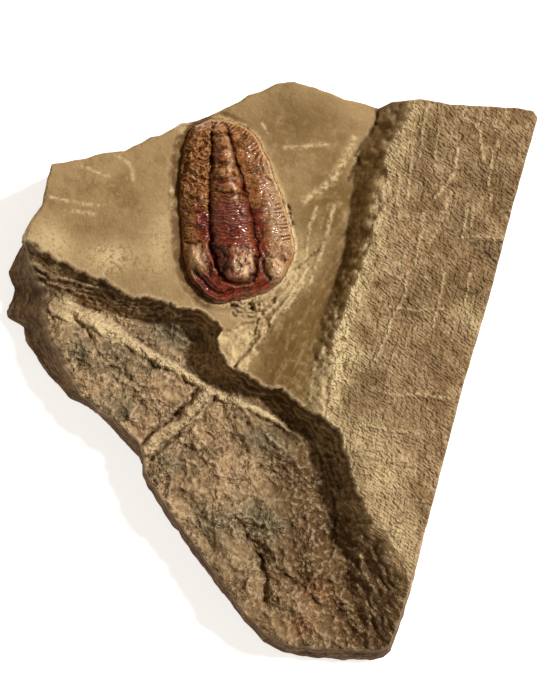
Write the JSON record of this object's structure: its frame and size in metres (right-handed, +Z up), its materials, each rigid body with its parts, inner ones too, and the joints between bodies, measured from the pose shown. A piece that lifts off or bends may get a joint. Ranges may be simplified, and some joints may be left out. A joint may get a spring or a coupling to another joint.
{
  "type": "trilobite fossil",
  "caption": "Ribbed trilobite lying in a shallow pocket on a split slab of layered mudstone with one straight sawn edge and a flat underside.",
  "frame": {"origin": "middle of the slab's outline, on the flat underside", "axes": "+Z up out of the face that holds the fossil, +Y from the fossil's head to its tail"},
  "size_m": [0.1618, 0.1767, 0.0349],
  "materials": {
    "mudstone": "matte, rough where broken",
    "red_cast": "lacquered, glossy"
  },
  "bodies": {
    "root": {"slab": "mudstone", "trilobite": "red_cast"}
  },
  "joints": []
}
